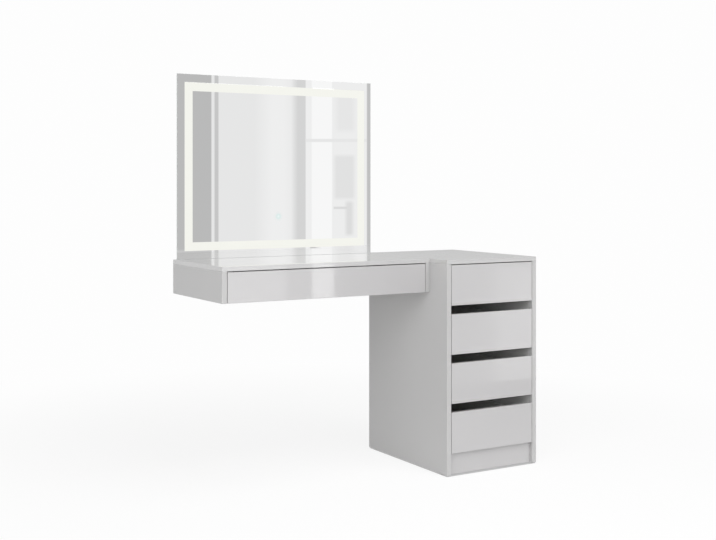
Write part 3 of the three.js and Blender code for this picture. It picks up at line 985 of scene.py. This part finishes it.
zinc_steel = zinc_steel_finish()
anodised = textured(
    "anodised_aluminium", METAL, ALUMINIUM, drift=(8.0, 0.08),
    texture=BRUSHED, settings=FRAME_LINES, rough=(0.30, 0.42), depth=METAL_RELIEF,
)
nickel = nickel_finish()

# %% [markdown]
# ## Glass and light
#
# A mirror is metal behind clear glass, so a smooth metal surface is enough. Its ground edge is
# marked on the mesh, and there the metal gives way to pale, frosted, slightly green glass. The
# etched band glows: its light comes through frosted glass, so it is drawn as light from the
# surface, with the fine dots of the etching in it.

# %% The mirror's glass
BUTTON_AT = sum(node_box("mirror_touch_button")) / 2
HALO_OUTER = 21 * MM
HALO_INNER = 10 * MM
HALO_STRENGTH = 0.55
HALO_LIGHT = (0.78, 0.84, 0.835)
SILVER = (0.92, 0.922, 0.922, 1.0)
GROUND_GLASS = (0.80, 0.84, 0.82, 1.0)
GROUND_ROUGHNESS = 0.35


def mirror_finish():
    """Silvered glass with a ground edge, and a soft halo round the touch mark."""
    values = {"Emission Strength": 1.0}
    material, tree, shader = start_material("silvered_glass", values)
    edge = add_node(tree, "Attribute", attribute_name="mark")["Fac"]
    from_button = distance_from(tree, BUTTON_AT)
    halo = soft_step(tree, from_button, HALO_OUTER, HALO_INNER, HALO_STRENGTH)
    glass = between(tree, edge, SILVER, GROUND_GLASS)
    sources = {
        "Base Color": scaled(tree, glass, work_out(tree, "SUBTRACT", 1.0, halo)),
        "Emission Color": scaled(tree, HALO_LIGHT, halo),
        "Metallic": work_out(tree, "SUBTRACT", 1.0, edge),
        "Roughness": work_out(tree, "MULTIPLY", edge, GROUND_ROUGHNESS),
    }
    feed(tree, shader, sources)
    return material


silvered_glass = mirror_finish()

# %% Glass that is lit from behind
BAND_LIGHT = (0.858, 0.862, 0.806)
ETCHING = {"Scale": 420.0, "Randomness": 0.15}
ETCHING_DEPTH = 0.04 * MM
GLOW_VARIES = 0.03
GLOW_SCALE = 6.0
LIT_SPECULAR = 0.2
TOUCH_GRAIN = (0.96, 1.04)
TOUCH_GRAIN_SCALE = 700.0

# shade and roughness of the glass when it isn't lit
BAND_GLASS = (0.03, 0.45)
TOUCH_GLASS = (0.02, 0.3)

TOUCH_MIDDLE = (0.80, 0.88, 0.87, 1.0)
TOUCH_RING = (0.70, 0.81, 0.80, 1.0)
RING_INNER = 2 * MM
RING_OUTER = 6 * MM


def lit_material(name, slot, shade, roughness):
    """Dark frosted glass whose colour is its own light."""
    values = {
        "Base Color": (shade, shade, shade, 1.0),
        "Roughness": roughness,
        "Specular IOR Level": LIT_SPECULAR,
        "Emission Strength": 1.0,
    }
    return start_material(name, values)


def light_band_finish():
    """Frosted glass lit from behind, with faint rows of etched dots."""
    material, tree, shader = lit_material("lit_frosted_glass", "light_band", *BAND_GLASS)
    place = object_place(tree)
    dots = add_node(tree, "TexVoronoi", {"Vector": place, **ETCHING})["Distance"]
    slow = noise_value(tree, place, GLOW_SCALE)
    level = work_out(tree, "MULTIPLY_ADD", slow, GLOW_VARIES, 1 - GLOW_VARIES)
    level = work_out(tree, "MULTIPLY_ADD", dots, GLOW_VARIES, level)
    sources = {
        "Emission Color": scaled(tree, BAND_LIGHT, level),
        "Normal": relief(tree, dots, ETCHING_DEPTH),
    }
    feed(tree, shader, sources)
    return material


def touch_finish():
    """The pale blue-green light of the touch mark: a ring round a lighter middle."""
    material, tree, shader = lit_material("touch_light", "touch_glow", *TOUCH_GLASS)
    ring = soft_step(tree, distance_from(tree, BUTTON_AT), RING_INNER, RING_OUTER)
    grain = noise_value(tree, object_place(tree), TOUCH_GRAIN_SCALE)
    grain = spread(tree, grain, *TOUCH_GRAIN)
    glow = scaled(tree, between(tree, ring, TOUCH_MIDDLE, TOUCH_RING), grain)
    feed(tree, shader, {"Emission Color": glow})
    return material


lit_glass = light_band_finish()
touch_light = touch_finish()

# %% Plastics and powder coat
COVER_WHITE = (0.60, 0.60, 0.59, 1.0)
PLASTIC_WHITE = (0.62, 0.62, 0.605, 1.0)
PLASTIC_DARK = (0.05, 0.05, 0.055, 1.0)
PLASTIC = {"IOR": 1.46}
MOULD_RELIEF = 0.05 * MM
POWDER_RELIEF = 0.08 * MM
POWDER_COAT = {"IOR": 1.5, "Coat Weight": 0.2, "Coat Roughness": 0.2}
POWDER_SKIN = {"Wave scale": 160.0, "Peel scale": 700.0, "Peel share": 0.3}


def moulded_plastic(name, colour):
    """Injection moulded plastic with the fine spark-eroded texture of its tool."""
    return textured(
        name, PLASTIC, colour, drift=(12.0, 0.05, 0.3),
        texture=FILM_GRAIN, settings={"Scale": 700.0}, rough=(0.40, 0.55), depth=MOULD_RELIEF,
    )


cover_paint = textured(
    "cover_powder_coat", POWDER_COAT, COVER_WHITE, drift=(3.0, 0.05),
    texture=LACQUER_SKIN, settings=POWDER_SKIN, rough=(0.36, 0.48), depth=POWDER_RELIEF,
)
white_plastic = moulded_plastic("white_plastic", PLASTIC_WHITE)
dark_plastic = moulded_plastic("dark_plastic", PLASTIC_DARK)

# %% [markdown]
# ## Dressing the boards
#
# The fronts and the plain boards are made from rings. The sides that carry a top, the rail and
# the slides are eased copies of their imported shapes, because those have holes or folds.

# %% Boards and fronts
DRAWERS = ["drawer_1", "drawer_2", "drawer_3", "drawer_4", "desk_drawer"]
CARCASS_BOARDS = {
    "cabinet_top": ("Z", top_lacquer),
    "desk_top": ("Z", top_lacquer),
    "cabinet_bottom": ("Z", carcass_film),
    "cabinet_back": ("Y", carcass_film),
    "cabinet_plinth": ("Y", front_lacquer),
}

for node, (axis, material) in CARCASS_BOARDS.items():
    board_piece(node, axis, CARCASS_EASE, material)
for drawer in DRAWERS:
    board_piece(drawer + "_front", "Y", FRONT_EASE, front_lacquer, drawer)
print("boards:", len(CARCASS_BOARDS) + len(DRAWERS))

# %% Sides, rail and slides
SIDE_EASE = 0.7 * MM
SHEET_EASE = 0.35 * MM

for node in ("cabinet_left_side", "cabinet_right_side", "desk_left_side", "desk_right_side"):
    eased_copy(node, SIDE_EASE, carcass_film, glued_top=True)
eased_copy("desk_wall_rail", CARCASS_EASE, carcass_film, glued_top=True)
eased_copy("mirror_hanging_rail", SHEET_EASE, zinc_steel)
for drawer in DRAWERS:
    for side in ("left", "right"):
        eased_copy(f"{drawer}_{side}_channel", SHEET_EASE, zinc_steel)
        eased_copy(f"{drawer}_{side}_runner", SHEET_EASE, zinc_steel, drawer)

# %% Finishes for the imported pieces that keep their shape
KEPT_FINISH = {"mirror_led_strip": white_plastic, "mirror_led_driver": white_plastic}
KEPT_FINISH.update({drawer + "_bottom": hardboard for drawer in DRAWERS})

for node, material in KEPT_FINISH.items():
    NODES[node].data.materials.clear()
    NODES[node].data.materials.append(material)
print("finishes on packed pieces:", len(KEPT_FINISH))

# %% [markdown]
# ## The mirror pane
#
# The pane is one sheet of glass with a ground edge and a shallow etched track that holds the
# light band. One profile makes it all: from the middle of the front, down into the track and up
# again, over the ground edge, and across the back.

# %% Pane with its etched track
PANE_ARRIS = 0.3 * MM
PANE_CORNER = 1.0 * MM
GROUND_LINE = 0.01 * MM
TRACK_GAP = 0.3 * MM
TRACK_DEPTH = 1.0 * MM
BAND_WIDTH = 30 * MM


def mirror_pane():
    """Rings of the pane, stacked from its front to its back.

    Pairs of an inset and a depth: the field, the track's floor, the rim, the edge, the back.
    """
    thickness = node_space("mirror_glass", "Y")[1][2]
    outer = node_box("mirror_light_band")[0][0] - node_box("mirror_glass")[0][0] - TRACK_GAP
    inner = outer + BAND_WIDTH + 2 * TRACK_GAP
    profile = [
        (inner, 0.0),
        (inner, TRACK_DEPTH),
        (outer, TRACK_DEPTH),
        (outer, 0.0),
        (PANE_ARRIS + GROUND_LINE, 0.0),
        (PANE_ARRIS, 0.0),
        (0.0, PANE_ARRIS),
        (0.0, thickness - PANE_ARRIS),
        (PANE_ARRIS, thickness),
    ]
    inset, depth = np.array(profile).T
    rings = rings_in_box("mirror_glass", "Y", PANE_CORNER, inset, depth)
    marks = inset <= PANE_ARRIS
    return ring_piece("mirror_pane", rings, silvered_glass, replaces=["mirror_glass"], marks=marks)


mirror_pane()

# %% Light band and touch mark
BAND_EASE = 0.25 * MM
BAND_CORNER = 0.6 * MM
TOUCH_PROUD = 0.12 * MM
TOUCH_RIM = 0.3 * MM
TOUCH_SEGMENTS = 48


def light_band():
    """A flat band of frosted glass whose two front edges are softly rounded."""
    depth = node_space("mirror_light_band", "Y")[1][2]
    section = [
        (0.0, BAND_EASE),
        (0.0, depth),
        (BAND_WIDTH, depth),
        (BAND_WIDTH, BAND_EASE),
        (BAND_WIDTH - BAND_EASE, 0.0),
        (BAND_EASE, 0.0),
    ]
    return section_piece("mirror_light_band", "light_band", "Y", section, BAND_CORNER, lit_glass)


def touch_mark():
    """A turned disc with a round rim, a hair proud of the glass, in the touch button's place."""
    size = node_space("mirror_touch_button", "Y")[1]
    radius = size[0] / 2
    profile = [
        (radius - TOUCH_RIM, -TOUCH_PROUD),
        (radius - TOUCH_RIM / 3, -TOUCH_PROUD / 2),
        (radius, TOUCH_RIM),
        (radius, size[2]),
    ]
    node = "mirror_touch_button"
    return turned_piece(node, "touch_mark", "Y", profile, TOUCH_SEGMENTS, touch_light)


light_band()
touch_mark()

# %% [markdown]
# ## Behind the glass
#
# The mirror hangs on a shallow housing: an aluminium edge frame, and a pressed cover with raised
# beads that stiffen the thin sheet, air louvres over the driver, and a row of small screws. The
# cover could be a plane with a displacement, but rings at chosen insets give each bead clean,
# rounded corners from few faces.

# %% Edge frame
FRAME_SHEET = 1.5 * MM
FRAME_FLANGE = 12 * MM
FRAME_ROUND = 0.5 * MM
FRAME_CORNER = 1.5 * MM


def edge_frame():
    """An angle section: a wall that runs back from the pane, and a flange behind the pane."""
    depth = node_space("mirror_frame", "Y")[1][2]
    section = [
        (0.0, FRAME_ROUND),
        (0.0, depth - FRAME_ROUND),
        (FRAME_ROUND, depth),
        (FRAME_SHEET - FRAME_ROUND, depth),
        (FRAME_SHEET, depth - FRAME_ROUND),
        (FRAME_SHEET, FRAME_SHEET),
        (FRAME_FLANGE, FRAME_SHEET),
        (FRAME_FLANGE, 0.0),
        (FRAME_ROUND, 0.0),
    ]
    return section_piece("mirror_frame", "mirror_edge_frame", "Y", section, FRAME_CORNER, anodised)


edge_frame()

# %% Pressed back cover
COVER_ROUND = 0.3 * MM
COVER_CORNER = 1.0 * MM
COVER_CORNER_STEPS = 7
BEAD_INSETS = (62 * MM, 180 * MM, 240 * MM)
BEAD_HALF_WIDTH = 6 * MM
BEAD_RISE = 0.9 * MM
BEAD_CORNER = 30 * MM
BEAD_STEPS = 9


def back_cover():
    """Flat sheet with three raised beads. A bead's rise is half of one plus a cosine."""
    thickness = node_space("mirror_back_cover", "Y")[1][2]
    swing = np.linspace(-1.0, 1.0, BEAD_STEPS)
    rise = BEAD_RISE * (1 + np.cos(np.pi * swing)) / 2
    rim = np.array([COVER_ROUND, 0.0, 0.0, COVER_ROUND])
    rim_depth = np.array([0.0, COVER_ROUND, thickness - COVER_ROUND, thickness])
    beads = (np.array(BEAD_INSETS)[:, None] + BEAD_HALF_WIDTH * swing).ravel()
    inset = np.concatenate([rim, beads])
    depth = np.concatenate([rim_depth, np.tile(thickness + rise, len(BEAD_INSETS))])
    corner = np.concatenate([np.full(rim.size, COVER_CORNER), beads + BEAD_CORNER])
    rings = rings_in_box("mirror_back_cover", "Y", corner, inset, depth, COVER_CORNER_STEPS)
    return ring_piece("back_cover", rings, cover_paint, replaces=["mirror_back_cover"])


back_cover()

# %% Louvres over the driver
LOUVRE_ROWS = 5
LOUVRE_PITCH = 12 * MM
LOUVRE_FIRST_ROW = 0.862
LOUVRE_HALF_LENGTH = 26 * MM
LOUVRE_HALF_HEIGHT = 2.6 * MM
LOUVRE_CORNER = 2.0 * MM
LOUVRE_COLUMNS = (-0.245, -0.155)
LOUVRE_TOP_SHARE = 0.35
LOUVRE_INSETS = np.array([0.0, 0.0, 0.5, 1.4]) * MM
LOUVRE_RISES = np.array([0.0, 0.5, 0.85, 1.0])


def louvres():
    """Small hoods that open downwards: their height grows evenly from the top to the bottom."""
    half_sizes = (LOUVRE_HALF_HEIGHT, LOUVRE_HALF_LENGTH)
    a, b = rounded_outline(*half_sizes, LOUVRE_CORNER, LOUVRE_INSETS)
    downwards = (LOUVRE_HALF_HEIGHT - a) / (2 * LOUVRE_HALF_HEIGHT)
    slope = LOUVRE_TOP_SHARE + (1 - LOUVRE_TOP_SHARE) * downwards
    hood = as_points(a, b, BEAD_RISE * LOUVRE_RISES[:, None] * slope)
    rows = LOUVRE_FIRST_ROW + LOUVRE_PITCH * np.arange(LOUVRE_ROWS)
    cover_back = node_box("mirror_back_cover")[1][1]
    places = places_at(LOUVRE_COLUMNS, cover_back, rows[:, None])
    return copied_piece("cover_louvres", hood, "+Y", places, cover_paint)


louvres()

# %% Cable bush
BUSH_SEGMENTS = 32


def cable_bush():
    """A turned bush: a closed section of radius and height in millimetres, carried round."""
    size = node_space("mirror_cable_gland", "Y")[1] / MM
    flange = size[0] / 2
    height = size[2]
    section = [
        (4.7, 0.0),
        (5.0, 0.3),
        (5.0, 2.5),
        (flange - 0.3, 2.5),
        (flange, 2.8),
        (flange, height - 0.5),
        (flange - 0.5, height),
        (3.2, height),
        (2.5, height - 0.6),
        (2.5, 0.3),
        (2.8, 0.0),
    ]
    section = np.array(section) * MM
    node = "mirror_cable_gland"
    return turned_piece(node, "cable_bush", "Y", section, BUSH_SEGMENTS, dark_plastic, True)


cable_bush()
print("mirror: pane, band, touch mark, frame, cover, louvres and bush")

# %% [markdown]
# ## Drawer boxes
#
# A drawer box is folded from one wrapped board, so its top edges are round and its corners are
# mitred. The groove that holds the bottom runs round the inside.

# %% Five drawer boxes
DESK_BOX_WALL = 12 * MM
CABINET_BOX_WALL = 16 * MM
BOX_ROUND = 2.0 * MM
BOX_CORNER = 1.0 * MM
GROOVE_DEPTH = 5 * MM
GROOVE_LOW = 9.7 * MM
GROOVE_HIGH = 13.3 * MM


def box_wall(drawer):
    """The thickness of a drawer's walls."""
    return DESK_BOX_WALL if drawer == "desk_drawer" else CABINET_BOX_WALL


def box_section(wall, height):
    """The wall's section: round at the top, square at the bottom, with the groove inside."""
    quarter = np.linspace(0.0, np.pi / 2, ARC_STEPS)
    inset = BOX_ROUND * (1 - np.cos(quarter))
    level = height - BOX_ROUND * (1 - np.sin(quarter))
    outer = list(zip(inset, level))
    inner = list(zip(wall - inset[::-1], level[::-1]))
    groove = [
        (wall, GROOVE_HIGH),
        (wall - GROOVE_DEPTH, GROOVE_HIGH),
        (wall - GROOVE_DEPTH, GROOVE_LOW),
        (wall, GROOVE_LOW),
    ]
    return [(0.0, 0.0), *outer, *inner, *groove, (wall, 0.0)]


for drawer in DRAWERS:
    node = drawer + "_box"
    section = box_section(box_wall(drawer), node_space(node, "Z")[1][2])
    section_piece(node, drawer + "_walls", "Z", section, BOX_CORNER, drawer_wrap, drawer)
print("drawer boxes:", len(DRAWERS))

# %% [markdown]
# ## Fixings
#
# Screws hold the slides and the fronts, and two bolts join the desk to the cabinet. They are small,
# but when a drawer is open they are what tells the eye how big everything is. A screw is a turned
# dome whose inner rings swell into a cross, so one function of angle and height makes the recess.

# %% A screw head
SCREW_POINTS = 16
ARM_SHARE = 0.45

# each ring's share of the radius and of the height, and 1 where it is in the recess
SCREW_RADII = np.array([1.0, 1.0, 0.93, 0.78, 0.60, 0.55, 0.34])
SCREW_HEIGHTS = np.array([0.0, 0.45, 0.80, 0.97, 1.0, 0.97, 0.35])
IN_RECESS = np.array([0.0, 0.0, 0.0, 0.0, 0.0, 1.0, 1.0])


def screw_rings(radius, height):
    """A pan head on local Z, with its seat at zero and a cross recess in its top.

    In the recess the radius is scaled by an arm's share plus the rest times the cube of the
    cosine of twice the angle, which leaves four arms.
    """
    cosine = np.abs(np.cos(2 * even_angles(SCREW_POINTS)))
    cross = ARM_SHARE + (1 - ARM_SHARE) * cosine**3
    narrowed = 1 - IN_RECESS[:, None] * (1 - cross)
    return round_rings(radius * SCREW_RADII[:, None] * narrowed, height * SCREW_HEIGHTS)


def screws(name, body, places, direction, radius, height):
    """Screw heads at a list of places, all facing one direction, as one piece."""
    return copied_piece(name, screw_rings(radius, height), direction, places, nickel, body)


# %% Screws in the slides and the fronts
DESK_SLIDE_SHEET = 1.2 * MM
CABINET_SLIDE_SHEET = 1.5 * MM
SLIDE_SCREW_SHARES = np.array([0.08, 0.5, 0.9])
SLIDE_SCREW = (3.2 * MM, 1.0 * MM)
FRONT_SCREW = (4.0 * MM, 0.6 * MM)
FRONT_SCREW_COLUMNS = np.array([0.12, 0.88])
SCREW_ROWS = np.array([0.25, 0.75])


def slide_screws(drawer, side, part, body):
    """Three heads on the web of a channel or a runner.

    A channel's screws face the drawer, and a runner's screws face away from it.
    """
    low, high = node_box(f"{drawer}_{side}_{part}")
    sheet = DESK_SLIDE_SHEET if drawer == "desk_drawer" else CABINET_SLIDE_SHEET
    faces_right = (side == "left") == (part == "channel")
    seat = low[0] + sheet if faces_right else high[0] - sheet
    along = low[1] + (high[1] - low[1]) * SLIDE_SCREW_SHARES
    places = places_at(seat, along, (low[2] + high[2]) / 2)
    direction = "+X" if faces_right else "-X"
    return screws(f"{drawer}_{side}_{part}_screws", body, places, direction, *SLIDE_SCREW)


def front_screws(drawer):
    """Four heads on the inner face of the box's front wall, which hold the drawer front."""
    low, high = node_box(drawer + "_box")
    floor = low[2] + GROOVE_HIGH
    x = low[0] + (high[0] - low[0]) * FRONT_SCREW_COLUMNS
    z = floor + (high[2] - floor) * SCREW_ROWS
    places = places_at(x[:, None], low[1] + box_wall(drawer), z)
    return screws(drawer + "_front_screws", drawer, places, "+Y", *FRONT_SCREW)


for drawer in DRAWERS:
    front_screws(drawer)
    for side in ("left", "right"):
        slide_screws(drawer, side, "channel", "carcass")
        slide_screws(drawer, side, "runner", drawer)

# %% Screws and rivets on the mirror's back
COVER_SCREW = (2.4 * MM, 0.8 * MM)
COVER_SCREW_INSET = 9 * MM
SCREWS_ACROSS = 6
SCREWS_UP = 5
RIVET_RADIUS = 2.6 * MM
RIVET_HEIGHT = 0.35 * MM
RIVET_PROFILE = ((1.0, 0.0), (0.9, 0.6), (0.5, 1.0))
RIVET_COLUMNS = (-0.34, -0.2, -0.06)


def cover_screws():
    """Screws round the cover's rim, at even steps along each side."""
    low, high = node_box("mirror_back_cover")
    left, _, foot = low + COVER_SCREW_INSET
    right, _, head = high - COVER_SCREW_INSET
    across = np.linspace(left, right, SCREWS_ACROSS)
    up = np.linspace(foot, head, SCREWS_UP)[1:-1]
    rows = places_at(across, high[1], [[foot], [head]])
    columns = places_at([[left], [right]], high[1], up)
    places = np.concatenate([rows, columns])
    return screws("cover_screws", "carcass", places, "+Y", *COVER_SCREW)


def rail_rivets():
    """Flat rivets that hold the hanging rail to the cover, in two rows."""
    low, high = node_box("mirror_hanging_rail")
    rows = low[2] + (high[2] - low[2]) * SCREW_ROWS
    places = places_at(RIVET_COLUMNS, high[1], rows[:, None])
    profile = np.array(RIVET_PROFILE) * [RIVET_RADIUS, RIVET_HEIGHT]
    head = turned_rings(profile, SCREW_POINTS)
    return copied_piece("rail_rivets", head, "+Y", places, nickel)


cover_screws()
rail_rivets()

# %% Seam bolts with hexagon sockets
BOLT_POINTS = 24
BOLT_SHAFT = 4.0
BOLT_HEAD = 8.0
SOCKET_APOTHEM = 2.5
SOCKET_DEPTH = 1.7


def seam_bolt(node):
    """A bolt along X with a domed head at each end and a hexagon socket in both.

    A hexagon's radius is its apothem over the cosine of the angle to the middle of its side.
    Radii and lengths are in millimetres.
    """
    middle, size = node_space(node, "X")
    length = size[2] / MM
    to_side = (even_angles(BOLT_POINTS) + np.pi / 6) % (np.pi / 3) - np.pi / 6
    hexagon = SOCKET_APOTHEM / np.cos(to_side)
    circle = np.ones(BOLT_POINTS)
    end = [
        (hexagon, SOCKET_DEPTH),
        (hexagon, 0.15),
        (5.6 * circle, 0.0),
        (7.2 * circle, 0.5),
        (BOLT_HEAD * circle, 1.5),
        (BOLT_HEAD * circle, 2.5),
        (BOLT_SHAFT * circle, 2.5),
    ]
    rings = end + [(radius, length - along) for radius, along in reversed(end)]
    radius = np.array([ring[0] for ring in rings])
    along = np.array([ring[1] for ring in rings]) - length / 2
    points = face_along(round_rings(radius, along) * MM, "+X") + middle
    return ring_piece(node + "_turned", points, nickel, replaces=[node])


BOLTS = ("desk_bolt_front", "desk_bolt_rear")
for node in BOLTS:
    seam_bolt(node)

# %% Glides under the cabinet
GLIDE_PROFILE = [(5.6, 0.0), (7.2, 0.2), (7.8, 0.7), (8.0, 1.3), (8.0, 2.5), (7.8, 2.7)]
GLIDE_SEGMENTS = 32


def glide(node):
    """A round glide with a domed foot: its profile of radius and height, in millimetres."""
    profile = np.array(GLIDE_PROFILE) * MM
    return turned_piece(node, node + "_domed", "Z", profile, GLIDE_SEGMENTS, white_plastic)


GLIDES = [f"glide_{end}_{side}" for end in ("front", "rear") for side in ("left", "right")]
for node in GLIDES:
    glide(node)
